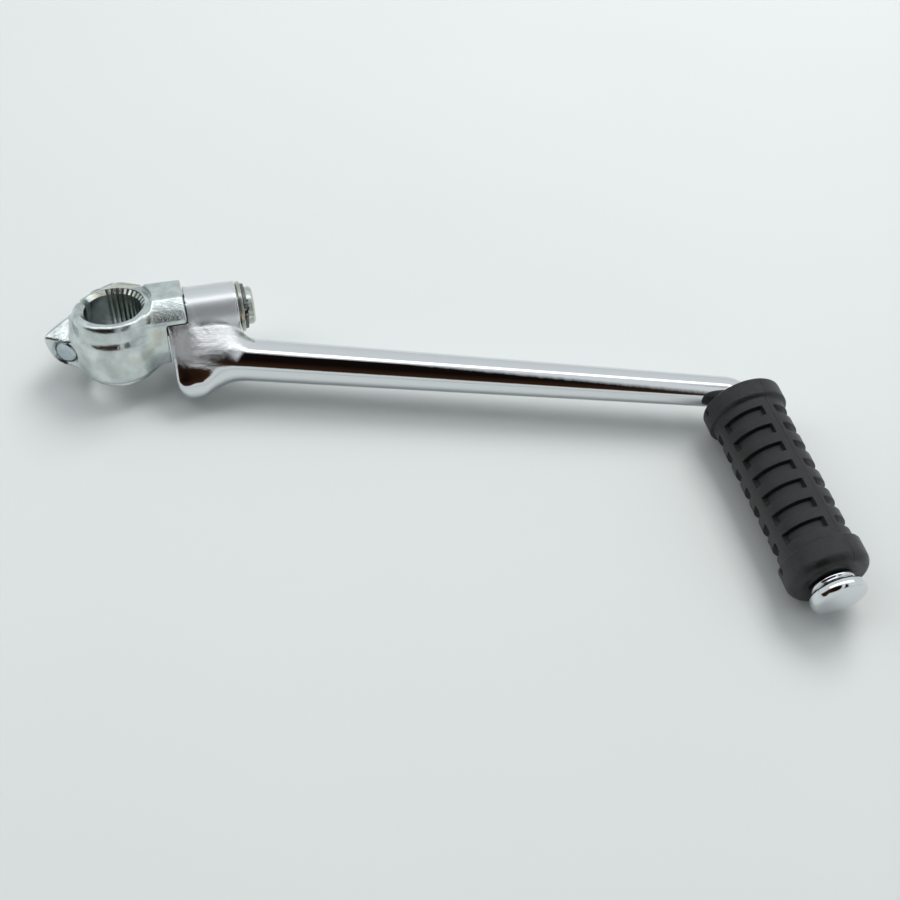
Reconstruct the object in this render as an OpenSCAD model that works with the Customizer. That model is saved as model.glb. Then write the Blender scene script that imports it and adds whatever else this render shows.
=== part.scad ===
// Kick start lever: splined clamp hub, folding knuckle, round rod and rubber pedal.
// Millimetres. Origin at the middle of the splined bore, +Z up from the table it lies on,
// +X along the knuckle axis towards the rod, the pedal points to -Y.

/* [Hub] */
// Angle the hub leans back from upright while the lever lies folded
hub_lean = 16; // [0:1:30]
// Height of the hub's upper face in its own frame
hub_h = 26; // [20:0.5:32]
// Height of the foot's lower face in the hub's own frame
foot_z0 = 1.4; // [0:0.1:3]
// Radius of the foot ring under the body
foot_r = 11.7; // [11.5:0.1:14]
// Radius of the wide body
body_r = 14.4; // [13.5:0.1:17]
// Height where the wide body starts
body_z0 = 3.6; // [3:0.1:7]
// Height where the wide body ends
body_z1 = 18.4; // [15:0.1:20]
// Radius of the top collar
collar_r = 13.5; // [12.5:0.1:15]

/* [Bore] */
// Radius over the tips of the spline teeth
tip_r = 9.5; // [8:0.1:11]
// Depth of the spline grooves
groove_depth = 0.9; // [0.5:0.1:1.5]
// Number of grooves in a full turn
groove_count = 36; // [24:1:48]
// Half width of a groove at the tooth tips
groove_half_tip = 0.42; // [0.2:0.01:0.6]
// Half width of a groove at its floor
groove_half_root = 0.22; // [0.1:0.01:0.4]
// Radius of the lead-in at the bore mouth
lead_r = 10.9; // [10.4:0.1:12]
// Depth of the lead-in
lead_h = 1.2; // [0.5:0.1:3]
// Angle of the clamp slit seen along the bore
slit_angle = 147; // [90:1:200]
// Width of the clamp slit
slit_w = 2.6; // [1.5:0.1:4]
// Angle of plain wall on each side of the slit
land_half_angle = 44; // [20:1:60]

/* [Pinch lug and bolt] */
// Distance of the bolt axis from the bore axis
bolt_s = 13.6; // [13:0.1:16]
// Height of the bolt axis above the hub foot
bolt_z = 12; // [9:0.1:14]
// Radius of the bolt shank
bolt_r = 4; // [3:0.1:5]
// Clearance around the bolt shank
bolt_clear = 0.06; // [0.02:0.01:0.2]
// Lug reach on the tip side of the slit
lug_near = 11.8; // [9:0.1:14]
// Lug reach on the head side of the slit
lug_far = 16; // [9:0.1:18]
// Wall of the lug around the bolt
lug_wall = 2.8; // [2:0.1:4]
// Distance across the flats of the bolt head
head_af = 12; // [10:0.5:14]
// Thickness of the hex of the bolt head
head_h = 5.9; // [4:0.1:8]
// Radius of the flange under the bolt head
flange_r = 7.8; // [6.5:0.1:9]
// Thickness of that flange
flange_h = 1.5; // [1:0.1:2.5]
// Tip of the bolt behind the face of the lug
tip_inset = 0.3; // [0:0.1:1]

/* [Knuckle] */
// Height of the knuckle axis above the hub foot
knuckle_z = 18.8; // [15:0.1:22]
// Radius of the knuckle barrel
barrel_r = 9; // [8:0.1:11]
// Start of the barrel along the knuckle axis
barrel_x0 = 23.7; // [20:0.1:28]
// End of the barrel along the knuckle axis
barrel_x1 = 41; // [35:0.1:50]
// Radius of the pivot spigot
spigot_r = 6.4; // [5:0.1:7]
// Radial clearance of the barrel on the spigot
spigot_clear = 0.05; // [0.02:0.01:0.1]
// End of the spigot
spigot_x1 = 46.4; // [44:0.1:52]
// Gap between faces that slide past each other
face_gap = 0.35; // [0.2:0.05:0.6]
// Right face of the cheek that backs the stop lobe
cheek_x = 16.4; // [14:0.1:19]
// Height of the stop faces above the knuckle axis
stop_rise = 2.5; // [1:0.1:4]
// Swing of the lever between its stops
swing = 74; // [60:1:95]

/* [Washer and circlip] */
// Radius of the thrust washer
washer_r = 8.6; // [7.5:0.1:10]
// Thickness of the thrust washer
washer_t = 1.4; // [0.8:0.1:2]
// Thickness of the circlip
clip_t = 1.1; // [0.8:0.1:1.5]
// Outer radius of the circlip
clip_r = 7.7; // [7:0.1:9]
// Depth of the circlip groove
clip_groove = 0.7; // [0.4:0.1:1]
// Half angle of its open gap
clip_gap = 16; // [8:1:40]
// Turn of that gap around the knuckle, from the bottom to the back
clip_turn = 235; // [0:1:359]
// Radius of the circlip eyelets
eyelet_r = 1.3; // [1:0.1:2]
// Radius of the holes in the eyelets
eyelet_hole_r = 0.6; // [0.4:0.1:1]
// Clearance of the circlip in its groove
clip_clear = 0.06; // [0.03:0.01:0.2]

/* [Detent] */
// Radius of the detent ball
ball_r = 2.4; // [1.5:0.1:3]
// Depth the ball sinks into the spigot
ball_sink = 0.9; // [0.4:0.1:1.2]
// Clearance around the ball
ball_clear = 0.05; // [0.03:0.01:0.1]
// Position of the ball along the knuckle
ball_x = 33; // [28:0.1:38]
// Wire radius of the detent spring
wire_r = 0.3; // [0.2:0.05:0.5]
// Turns of the detent spring
spring_turns = 4; // [2:1:8]
// Length of the detent spring
spring_l = 4.2; // [2:0.1:8]

/* [Arm] */
// Centre of the stop lobe, across the knuckle
lobe_y = -16.4; // [-22:0.1:-10]
// Centre of the stop lobe, above the origin
lobe_z = -7.2; // [-10:0.1:-2]
// Radius of the stop lobe
lobe_r = 6.9; // [5:0.1:9]
// Right end of the stop lobe
lobe_x1 = 27.5; // [25:0.1:34]
// Start of the web between barrel and rod, along the knuckle
web_x0 = 24.4; // [24:0.1:28]
// End of the web, along the knuckle
web_x1 = 39.5; // [34:0.5:41]
// Half thickness of the web
web_r = 7.4; // [5:0.1:8.5]
// Height of the rod axis
rod_z = -2.1; // [-6:0.1:2]
// Heading of the rod in the table plane
rod_angle = -16.2; // [-30:0.1:0]
// Where the rod axis starts, along the knuckle
rod_x0 = 30; // [26:0.5:40]
// Where the rod axis starts, across the knuckle
rod_y0 = -12.4; // [-20:0.1:-5]
// Length of the rod axis from its start to the corner
rod_l = 179.5; // [150:0.5:200]
// Radius of the rod at its start
rod_r0 = 7.4; // [5:0.1:9]
// Radius of the rod at the corner
rod_r1 = 5.4; // [4:0.1:7]
// Radius of the bend on its centre line
bend_r = 6; // [5.5:0.1:15]

/* [Pedal pin] */
// Heading of the pedal pin
pin_angle = -88.2; // [-100:0.1:-80]
// Corner to the start of the rubber
pin_lead = 4.4; // [4:0.1:12]
// Radius of the collar behind the head
pin_collar_r = 7.2; // [6:0.1:8]
// Radius of the pressed head
pin_head_r = 9.3; // [7:0.1:10]
// Thickness of the pressed head
pin_head_t = 4; // [2:0.1:6]
// Gap between rubber and head
pin_neck = 3; // [1:0.1:5]

/* [Grip rubber] */
// Length of the rubber
grip_l = 72; // [60:0.5:85]
// Radius of the end collars
grip_collar_r = 13.8; // [11:0.1:15]
// Radius of the ribbed body
grip_body_r = 12.35; // [10:0.05:14]
// Length of the collar next to the rod
collar_far_l = 6.9; // [4:0.1:10]
// Length of the collar next to the head, its rounding included
collar_near_l = 9.5; // [5:0.1:14]
// First row of slots from the rod end
row_s0 = 10.5; // [8:0.1:14]
// Distance between the rows of slots
row_pitch = 7.42; // [6:0.01:9]
// Number of rows
row_count = 7; // [5:1:9]
// Columns of slots around the rubber
column_count = 4; // [3:1:6]
// Width of a slot along the rubber
slot_w = 3.7; // [2:0.1:5]
// Angle of a slot around the rubber
slot_angle = 71; // [40:1:80]
// Depth of the slots
slot_depth = 1.6; // [0.8:0.1:3]
// Turn of the first column from the top
column_turn = -36; // [-90:1:90]
// Turn of each row against the last one
row_twist = -0.9; // [-3:0.1:3]
// Clearance of the rubber on its pin
grip_clear = 0.05; // [0.02:0.01:0.2]
// First mould mark from the rod end
mark_s0 = 2.4; // [1.5:0.1:5]
// Second mould mark from the rod end
mark_s1 = 65.5; // [60:0.1:70]
// Turn of the mould marks around the rubber, from the bottom to the outside
mark_turn = 268; // [0:1:359]
// Radius of the mould marks on the collars
mark_r = 1; // [0.5:0.1:2]
// Depth of the mould marks
mark_depth = 0.8; // [0.3:0.1:1.5]

/* [Hidden] */
$fa = 5;
$fs = 0.5;
cut = 1;
root_r = tip_r + groove_depth;
groove_step = 360 / groove_count;
toothed_from = slit_angle + land_half_angle;
toothed_turns = floor((360 - 2 * land_half_angle) / groove_step);
knuckle_up = knuckle_z - hub_h / 2;
ky = knuckle_up * sin(hub_lean);
kz = knuckle_up * cos(hub_lean);
arm_bore_r = spigot_r + spigot_clear;
bolt_hole_r = bolt_r + bolt_clear;
lug_r = bolt_r + lug_wall;
block_x0 = 11.5;
block_x1 = barrel_x0 - face_gap;
lobe_x0 = cheek_x + face_gap;
washer_x0 = barrel_x1 + face_gap;
clip_x0 = washer_x0 + washer_t + clip_clear;
groove_r = spigot_r - clip_groove;
lobe_dy = lobe_y - ky;
lobe_dz = lobe_z - kz;
lobe_turn = atan2(lobe_dz, lobe_dy);
lobe_hy = lobe_dy * cos(hub_lean) - lobe_dz * sin(hub_lean);
lobe_hz = lobe_dy * sin(hub_lean) + lobe_dz * cos(hub_lean);
lobe_head = lobe_turn + hub_lean;
web_dy = rod_y0 + (web_x0 + web_x1 - 2 * rod_x0) / 2 * tan(rod_angle) - ky;
web_turn = atan2(rod_z - kz, web_dy);
web_reach = sqrt(web_dy * web_dy + pow(rod_z - kz, 2));
ball_rad = spigot_r - ball_sink + ball_r;
bend_turn = rod_angle - pin_angle;
bend_lead = bend_r * tan(bend_turn / 2);
corner_x = rod_x0 + rod_l * cos(rod_angle);
corner_y = rod_y0 + rod_l * sin(rod_angle);
pin_l = pin_lead + grip_l + pin_neck + pin_head_t;
grip_round = 3;
eyelet_out = 0.9;
track_over = 1 + asin((ball_r + ball_clear) / ball_rad);
bend_lap = 0.8;
bend_step = 0.12;
spring_r = ball_r - wire_r - 0.1;
spring_gap = 0.15;

module in_hub_frame() {
    rotate([-hub_lean, 0, 0]) translate([0, 0, -hub_h / 2]) children();
}

// the bolt's own frame: +X away from the bore through the slit, +Z towards the bolt head
module in_bolt_frame() {
    in_hub_frame() rotate([0, 0, slit_angle]) translate([bolt_s, 0, bolt_z]) rotate([90, 0, 0]) children();
}

// along the knuckle: +Z is the knuckle axis, +X points down, +Y to the back
module on_knuckle(x) {
    translate([x, ky, kz]) rotate([0, 90, 0]) children();
}

// the pedal's own frame: +Z along the pin to its head, +X down, +Y to the outside
module on_pin() {
    translate([corner_x, corner_y, rod_z]) rotate([0, 0, pin_angle]) rotate([0, 90, 0]) children();
}

module hub_turned() {
    rotate_extrude() polygon([
        [0, foot_z0], [foot_r - 0.4, foot_z0], [foot_r, foot_z0 + 0.4], [foot_r, body_z0 - 0.3],
        [body_r - 0.7, body_z0], [body_r, body_z0 + 0.8], [body_r, body_z1 - 0.6],
        [collar_r, body_z1 + 0.9], [collar_r, hub_h - 1.6], [collar_r - 0.5, hub_h - 0.5],
        [collar_r - 1.4, hub_h], [0, hub_h]
    ]);
}

// pinch lug in the bolt frame: a low nose around the bolt under a slope up to the collar
module lug() {
    translate([0, 0, -lug_near]) linear_extrude(height = lug_near + lug_far) polygon([
        [-bolt_s, 1.9 * lug_r], [-3, 1.9 * lug_r], [1.1 * lug_r, 0.7 * lug_r], [lug_r, 0], [0.75 * lug_r, -0.55 * lug_r],
        [0.35 * lug_r, -0.82 * lug_r], [-0.5 * lug_r, -0.88 * lug_r], [-bolt_s, -0.95 * lug_r]
    ]);
}

module block() {
    // upper half, over the stop lobe
    translate([block_x0, 0, 0]) rotate([90, 0, 90]) linear_extrude(height = block_x1 - block_x0) polygon([
        [-10, knuckle_z + stop_rise], [10, knuckle_z + stop_rise], [10, 25.2], [7.4, 28.4],
        [-3.5, 28.8], [-9.6, 24], [-10, 23.4]
    ]);
    // lower half, ending in the cheek
    translate([block_x0, 0, 0]) rotate([90, 0, 90]) linear_extrude(height = cheek_x - block_x0) polygon([
        [-10, knuckle_z + stop_rise], [-10.4, 13], [-8.4, 5.6], [8.4, 5.6], [10.4, 13], [10, knuckle_z + stop_rise]
    ]);
}

module detent_track() {
    // groove the ball rolls in over the whole swing, a ball's width longer at each end
    on_knuckle(ball_x) rotate([0, 0, 90 + lobe_turn - track_over]) rotate_extrude(angle = swing + 2 * track_over)
        translate([ball_rad, 0]) circle(r = ball_r + ball_clear, $fn = 48);
}

module hub() {
    color([0.71, 0.77, 0.78]) difference() {
        union() {
            in_hub_frame() hub_turned();
            in_hub_frame() block();
            in_bolt_frame() lug();
            on_knuckle(cheek_x - 4) cylinder(h = spigot_x1 - cheek_x + 3.2, r = spigot_r);
            on_knuckle(spigot_x1 - 0.8) cylinder(h = 0.8, r1 = spigot_r, r2 = spigot_r - 0.8);
        }
        in_hub_frame() rotate_extrude() polygon([
            [0, -cut], [tip_r, -cut], [tip_r, hub_h - lead_h], [lead_r, hub_h], [lead_r, hub_h + 4], [0, hub_h + 4]
        ]);
        for (i = [0 : toothed_turns - 1]) {
            in_hub_frame() rotate([0, 0, toothed_from + (i + 0.5) * groove_step]) translate([0, 0, -cut])
                linear_extrude(height = hub_h + 2 * cut) polygon([
                    [tip_r - 0.6, -groove_half_tip], [tip_r, -groove_half_tip], [root_r, -groove_half_root],
                    [root_r, groove_half_root], [tip_r, groove_half_tip], [tip_r - 0.6, groove_half_tip]
                ]);
        }
        in_hub_frame() rotate([0, 0, slit_angle]) translate([tip_r - 2, -slit_w / 2, -cut])
            cube([bolt_s + lug_r, slit_w, hub_h + 2 * cut]);
        in_bolt_frame() translate([0, 0, -lug_near - cut]) cylinder(h = lug_near + lug_far + 2 * cut, r = bolt_hole_r);
        difference() {
            on_knuckle(clip_x0 - clip_clear) cylinder(h = clip_t + 2 * clip_clear, r = spigot_r + cut);
            on_knuckle(clip_x0 - cut) cylinder(h = clip_t + 2 * cut, r = groove_r);
        }
        detent_track();
    }
}

module pinch_bolt() {
    color([0.72, 0.78, 0.82]) in_bolt_frame() union() {
        translate([0, 0, tip_inset - lug_near]) cylinder(h = 0.6, r1 = bolt_r - 0.6, r2 = bolt_r);
        translate([0, 0, 0.6 + tip_inset - lug_near]) cylinder(h = lug_near + lug_far - 0.6 - tip_inset, r = bolt_r);
        translate([0, 0, lug_far]) cylinder(h = flange_h, r = flange_r);
        translate([0, 0, lug_far]) cylinder(h = flange_h + head_h, r = head_af / sqrt(3), $fn = 6);
    }
}

module thrust_washer() {
    color([0.75, 0.74, 0.66]) difference() {
        on_knuckle(washer_x0) cylinder(h = washer_t, r = washer_r);
        on_knuckle(washer_x0 - cut) cylinder(h = washer_t + 2 * cut, r = arm_bore_r);
    }
}

module circlip() {
    color([0.45, 0.46, 0.46]) difference() {
        union() {
            on_knuckle(clip_x0) rotate([0, 0, clip_turn + clip_gap]) rotate_extrude(angle = 360 - 2 * clip_gap)
                translate([groove_r + clip_clear, 0]) square([clip_r - groove_r - clip_clear, clip_t]);
            for (a = [-clip_gap, clip_gap]) {
                on_knuckle(clip_x0) rotate([0, 0, clip_turn + a])
                    translate([clip_r - eyelet_r + eyelet_out, 0, 0]) cylinder(h = clip_t, r = eyelet_r);
            }
        }
        for (a = [-clip_gap, clip_gap]) {
            on_knuckle(clip_x0 - cut) rotate([0, 0, clip_turn + a])
                translate([clip_r - eyelet_r + eyelet_out, 0, 0]) cylinder(h = clip_t + 2 * cut, r = eyelet_hole_r);
        }
    }
}

// outline of the lobe about the knuckle axis: first stop face, round nose, second stop face
module lobe_outline() {
    rise = stop_rise - face_gap;
    reach = sqrt(pow(barrel_r - 0.1, 2) - rise * rise);
    polygon([
        [rise * (1 - cos(swing)) / sin(swing), rise], [-reach, rise],
        for (k = [0 : 12]) [
            lobe_hy + lobe_r * cos(lobe_head + 15 * k - 90), lobe_hz + lobe_r * sin(lobe_head + 15 * k - 90)
        ],
        [rise * sin(swing) + reach * cos(swing), rise * cos(swing) - reach * sin(swing)]
    ]);
}

module arm() {
    color([0.85, 0.86, 0.88]) difference() {
        union() {
            on_knuckle(barrel_x0) cylinder(h = barrel_x1 - barrel_x0, r = barrel_r);
            translate([lobe_x0, ky, kz]) rotate([-hub_lean, 0, 0]) rotate([90, 0, 90])
                linear_extrude(height = lobe_x1 - lobe_x0) lobe_outline();
            translate([web_x0, ky, kz]) rotate([web_turn, 0, 0]) rotate([90, 0, 90])
                linear_extrude(height = web_x1 - web_x0) polygon([
                    [0, web_r], [web_reach, 0.92 * web_r], [web_reach + 0.7 * web_r, 0.5 * web_r],
                    [web_reach + 0.7 * web_r, -0.5 * web_r], [web_reach, -0.92 * web_r], [0, -web_r]
                ]);
            translate([rod_x0, rod_y0, rod_z]) rotate([0, 0, rod_angle]) rotate([0, 90, 0])
                cylinder(h = rod_l - bend_lead + bend_lap, r1 = rod_r0, r2 = rod_r1);
            translate([corner_x, corner_y, rod_z]) rotate([0, 0, rod_angle]) translate([-bend_lead, -bend_r, 0])
                rotate([0, 0, 90 - bend_turn]) rotate_extrude(angle = bend_turn)
                    translate([bend_r, 0]) circle(r = rod_r1 + bend_step);
            on_pin() translate([0, 0, bend_lead - bend_lap]) cylinder(h = pin_l - bend_lead - 1, r = rod_r1);
            on_pin() translate([0, 0, pin_lead + grip_l + 0.5]) cylinder(h = 1.3, r = pin_collar_r);
            on_pin() translate([0, 0, pin_l - pin_head_t]) rotate_extrude() polygon([
                [0, 0], [pin_head_r - 0.9, 0], [pin_head_r, 0.8], [pin_head_r, pin_head_t - 1],
                [pin_head_r - 0.9, pin_head_t], [0, pin_head_t]
            ]);
        }
        on_knuckle(lobe_x0 - cut) cylinder(h = barrel_x1 - lobe_x0 + 2 * cut, r = arm_bore_r);
        // pocket of the detent
        on_knuckle(ball_x) rotate([0, 0, 90 + lobe_turn]) rotate([0, 90, 0])
            cylinder(h = ball_rad + ball_r + spring_l, r = ball_r + ball_clear);
    }
}

module detent_ball() {
    color([0.8, 0.8, 0.82]) on_knuckle(ball_x) rotate([0, 0, 90 + lobe_turn]) translate([ball_rad, 0, 0]) sphere(r = ball_r, $fn = 32);
}

// level cut through a wound wire: as long around the axis as the wire needs to pass through it
module wire_cut(pitch) {
    span = 360 * wire_r / pitch;
    polygon([
        for (k = [-9 : 9]) wire_point(span * k / 10, 1, pitch),
        for (k = [9 : -1 : -9]) wire_point(span * k / 10, -1, pitch)
    ]);
}

function wire_point(a, side, pitch) = let(
    w = sqrt(wire_r * wire_r - pow(a * pitch / 360, 2)),
    r = spring_r + side * w
) [r * cos(a), r * sin(a)];

module detent_spring() {
    color([0.5, 0.5, 0.52]) on_knuckle(ball_x) rotate([0, 0, 90 + lobe_turn]) rotate([0, 90, 0])
        translate([0, 0, ball_rad + ball_r + spring_gap])
            linear_extrude(height = spring_l - 2 * spring_gap, twist = -360 * spring_turns, slices = 48)
                wire_cut((spring_l - 2 * spring_gap) / spring_turns);
}

module grip_rubber() {
    color([0.16, 0.16, 0.17]) on_pin() translate([0, 0, pin_lead]) difference() {
        rotate_extrude() polygon([
            [rod_r1 + grip_clear, 0], [grip_collar_r - 1, 0], [grip_collar_r, 1],
            [grip_collar_r, collar_far_l - 0.4], [grip_body_r, collar_far_l + 0.2],
            [grip_body_r, grip_l - collar_near_l - 0.2], [grip_collar_r, grip_l - collar_near_l + 0.4],
            [grip_collar_r, grip_l - grip_round], [grip_collar_r - 1.2, grip_l - 0.9],
            [grip_collar_r - 3, grip_l], [rod_r1 + grip_clear, grip_l]
        ]);
        for (i = [0 : row_count - 1]) {
            for (j = [0 : column_count - 1]) {
                rotate([0, 0, -column_turn - row_twist * i + j * 360 / column_count - slot_angle / 2])
                    translate([0, 0, row_s0 + i * row_pitch]) rotate_extrude(angle = slot_angle)
                        translate([grip_body_r - slot_depth, 0]) square([slot_depth + cut, slot_w]);
            }
        }
        for (s = [mark_s0, mark_s1]) {
            rotate([0, 0, mark_turn]) translate([grip_collar_r - mark_depth, 0, s]) rotate([0, 90, 0])
                cylinder(h = mark_depth + cut, r = mark_r);
        }
    }
}

hub();
pinch_bolt();
thrust_washer();
circlip();
arm();
grip_rubber();
detent_ball();
detent_spring();
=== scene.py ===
import math
import bpy
import numpy as np
from mathutils import Matrix


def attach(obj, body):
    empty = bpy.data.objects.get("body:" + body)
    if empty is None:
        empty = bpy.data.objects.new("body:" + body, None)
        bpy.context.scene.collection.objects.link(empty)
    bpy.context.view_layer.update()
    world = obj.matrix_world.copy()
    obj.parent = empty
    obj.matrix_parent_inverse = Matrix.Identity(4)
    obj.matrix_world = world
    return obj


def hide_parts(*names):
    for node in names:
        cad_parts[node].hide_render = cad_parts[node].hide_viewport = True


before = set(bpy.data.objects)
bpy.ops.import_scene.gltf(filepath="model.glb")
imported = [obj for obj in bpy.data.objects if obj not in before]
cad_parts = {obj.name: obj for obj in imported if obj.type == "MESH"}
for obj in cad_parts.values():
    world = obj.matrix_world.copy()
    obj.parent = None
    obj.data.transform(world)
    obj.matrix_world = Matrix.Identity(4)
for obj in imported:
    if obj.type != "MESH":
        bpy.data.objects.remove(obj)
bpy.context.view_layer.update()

# Shared sizes in millimetres, from the middle of the splined bore.
mm = 0.001
lean = math.radians(16)
swing = math.radians(74)
hubMiddle = 13.0
kneeUp = 5.8
kneeY = kneeUp * math.sin(lean)
kneeZ = kneeUp * math.cos(lean)
tableZ = -15.9
diagonal = 0.7071


# Colour: a display hex colour to the linear values that the shaders use.
def srgb(code):
    v = [int(code[i:i + 2], 16) / 255 for i in (1, 3, 5)]
    return [c / 12.92 if c <= 0.04045 else ((c + 0.055) / 1.055) ** 2.4 for c in v] + [1]


# Fields: signed distances in millimetres over arrays of points, negative inside.

# Smooth union: the smaller of two distances, rounded where they differ by less than k.
def join(a, b, k):
    h = np.maximum(k - np.abs(a - b), 0) / k
    return np.minimum(a, b) - h * h * k * 0.25


# Smooth intersection: the mirror image of the smooth union.
def meet(a, b, k):
    return -join(-a, -b, k)


# Rounded cylinder along one axis: radial and axial excess, their corner rounded by e.
def drum(radial, axial, r, z0, z1, e):
    dx = radial - (r - e)
    dy = np.abs(axial - (z0 + z1) / 2) - ((z1 - z0) / 2 - e)
    return np.minimum(np.maximum(dx, dy), 0) + np.hypot(np.maximum(dx, 0), np.maximum(dy, 0)) - e


# Cylinder whose end edges are cut off flat: the larger of radius, length and a diagonal excess.
def chamferDrum(radial, axial, r, z0, z1, c):
    dx = radial - r
    dy = np.abs(axial - (z0 + z1) / 2) - (z1 - z0) / 2
    return np.maximum(np.maximum(dx, dy), (dx + dy + c) * diagonal)


# Convex prism, corners given clockwise: the largest distance to its edge lines, rounded by k.
def prism(u, v, corners, k):
    d = None
    for i in range(len(corners)):
        (au, av), (bu, bv) = corners[i], corners[(i + 1) % len(corners)]
        size = math.hypot(bu - au, bv - av)
        side = ((v - av) * (bu - au) - (u - au) * (bv - av)) / size
        d = side if d is None else (meet(d, side, k) if k else np.maximum(d, side))
    return d


# Round bar between two points: distance to the nearest point of the line, less a radius that changes evenly.
def bar(x, y, z, p, q, rp, rq):
    d = [b - a for a, b in zip(p, q)]
    n = sum(c * c for c in d)
    t = np.clip(((x - p[0]) * d[0] + (y - p[1]) * d[1] + (z - p[2]) * d[2]) / n, 0, 1)
    gap = np.sqrt((x - p[0] - t * d[0]) ** 2 + (y - p[1] - t * d[1]) ** 2 + (z - p[2] - t * d[2]) ** 2)
    return gap - (rp + (rq - rp) * t)


# Slope of a field by central differences, as unit vectors.
def slopeOf(field, p, step=0.02):
    g = np.empty_like(p)
    for a in range(3):
        up = p.copy()
        dn = p.copy()
        up[:, a] += step
        dn[:, a] -= step
        g[:, a] = (field(*up.T) - field(*dn.T)) / (2 * step)
    return g


# Surface of a field: one vertex in each grid cell that the surface crosses, one quad for each crossed grid edge,
# then each vertex slid along the slope until the field there is nought.
def skin(field, lo, hi, step):
    axes = [np.arange(lo[a], hi[a] + step, step) for a in range(3)]
    grid = np.meshgrid(*axes, indexing="ij")
    f = field(*grid).astype(np.float32)
    inside = f < 0
    n = [s - 1 for s in f.shape]
    total = np.zeros(n, np.float32)
    place = np.zeros(n + [3], np.float32)
    cut = np.zeros(n, bool)
    corners = [(i, j, k) for i in (0, 1) for j in (0, 1) for k in (0, 1)]
    for c in corners:
        for a in range(3):
            if c[a]:
                continue
            e = list(c)
            e[a] = 1
            s0 = tuple(slice(c[b], c[b] + n[b]) for b in range(3))
            s1 = tuple(slice(e[b], e[b] + n[b]) for b in range(3))
            crossed = inside[s0] != inside[s1]
            f0, f1 = f[s0], f[s1]
            t = np.where(crossed, f0 / np.where(crossed, f0 - f1, 1), 0)
            for b in range(3):
                place[..., b] += np.where(crossed, c[b] + (t if b == a else 0), 0)
            total += crossed
            cut |= crossed
    index = -np.ones(n, np.int64)
    index[cut] = np.arange(cut.sum())
    cell = np.argwhere(cut)
    p = lo + (cell + place[cut] / total[cut][:, None]) * step
    quads = []
    for a in range(3):
        b, c = (a + 1) % 3, (a + 2) % 3
        s0 = [slice(1, -1)] * 3
        s1 = [slice(1, -1)] * 3
        s0[a] = slice(0, -1)
        s1[a] = slice(1, None)
        crossed = inside[tuple(s0)] != inside[tuple(s1)]
        at = np.argwhere(crossed)
        at[:, b] += 1
        at[:, c] += 1
        first = inside[tuple(at.T)]
        ring = []
        for db, dc in ((0, 0), (1, 0), (1, 1), (0, 1)):
            q = at.copy()
            q[:, b] -= db
            q[:, c] -= dc
            ring.append(index[tuple(q.T)])
        ring = np.stack(ring, 1)
        ring[~first] = ring[~first][:, ::-1]
        quads.append(ring)
    p = p.astype(np.float64)
    for _ in range(4):
        g = slopeOf(field, p)
        length = np.maximum((g * g).sum(1), 0.2)
        move = -field(*p.T)[:, None] * g / length[:, None]
        far = np.maximum(np.linalg.norm(move, axis=1) / (0.5 * step), 1)
        p += move / far[:, None]
    return p, np.concatenate(quads)


# Mesh object from points in millimetres and quads or triangles given as one array each.
def meshObject(name, points, faces, smooth=True):
    mesh = bpy.data.meshes.new(name)
    faces = [np.asarray(f) for f in (faces if isinstance(faces, list) else [faces]) if len(f)]
    loops = np.concatenate([f.ravel() for f in faces]).astype(np.int32)
    counts = np.concatenate([np.full(len(f), f.shape[1]) for f in faces]).astype(np.int32)
    starts = np.concatenate([[0], np.cumsum(counts)[:-1]]).astype(np.int32)
    mesh.vertices.add(len(points))
    mesh.vertices.foreach_set("co", (np.asarray(points, np.float64) * mm).ravel().astype(np.float32))
    mesh.loops.add(len(loops))
    mesh.loops.foreach_set("vertex_index", loops)
    mesh.polygons.add(len(counts))
    mesh.polygons.foreach_set("loop_start", starts)
    mesh.polygons.foreach_set("loop_total", counts)
    mesh.update(calc_edges=True)
    mesh.validate()
    if smooth:
        mesh.shade_smooth()
    made = bpy.data.objects.new(name, mesh)
    bpy.context.scene.collection.objects.link(made)
    return made


# Closed surface of rows of points: quads between neighbouring rows, each row closed on itself, flat fans at the ends.
def rowsToFaces(rows, count, closedEnds=True, looped=False):
    i = np.arange(rows if looped else rows - 1)[:, None]
    j = np.arange(count)[None]
    nextRow = (i + 1) % rows
    nextCol = (j + 1) % count
    quads = np.stack([i * count + j, i * count + nextCol, nextRow * count + nextCol, nextRow * count + j], -1)
    faces = [quads.reshape(-1, 4)]
    if closedEnds:
        faces += [np.arange(count)[::-1][None], (np.arange(count) + (rows - 1) * count)[None]]
    return faces


# Turned shape: each (radius, height) of the profile swept round the z axis.
def turned(profile, count=96):
    a = np.arange(count) * 2 * math.pi / count
    rows = [np.stack([r * np.cos(a), r * np.sin(a), np.full(count, float(z))], 1) for r, z in profile]
    return np.concatenate(rows), rowsToFaces(len(profile), count, closedEnds=False, looped=True)


# Profile corners, each with its own rounding, turned into short steps: points on the arc that touches both sides.
def rounded(points, steps=4):
    out = []
    for i, p in enumerate(points):
        size = p[2]
        p = np.array(p[:2], float)
        before = np.array(points[i - 1][:2], float) - p
        after = np.array(points[(i + 1) % len(points)][:2], float) - p
        room = min(size, 0.45 * np.linalg.norm(before), 0.45 * np.linalg.norm(after))
        a = p + before / np.linalg.norm(before) * room
        b = p + after / np.linalg.norm(after) * room
        for k in range(steps + 1):
            t = k / steps
            out.append((1 - t) ** 2 * a + 2 * t * (1 - t) * p + t * t * b)
    return out


# Frames as 3 x 3 turns whose columns are the local axes, with an origin in millimetres.
def turnX(a):
    return np.array([[1, 0, 0], [0, math.cos(a), -math.sin(a)], [0, math.sin(a), math.cos(a)]])


def turnY(a):
    return np.array([[math.cos(a), 0, math.sin(a)], [0, 1, 0], [-math.sin(a), 0, math.cos(a)]])


def turnZ(a):
    return np.array([[math.cos(a), -math.sin(a), 0], [math.sin(a), math.cos(a), 0], [0, 0, 1]])


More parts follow.
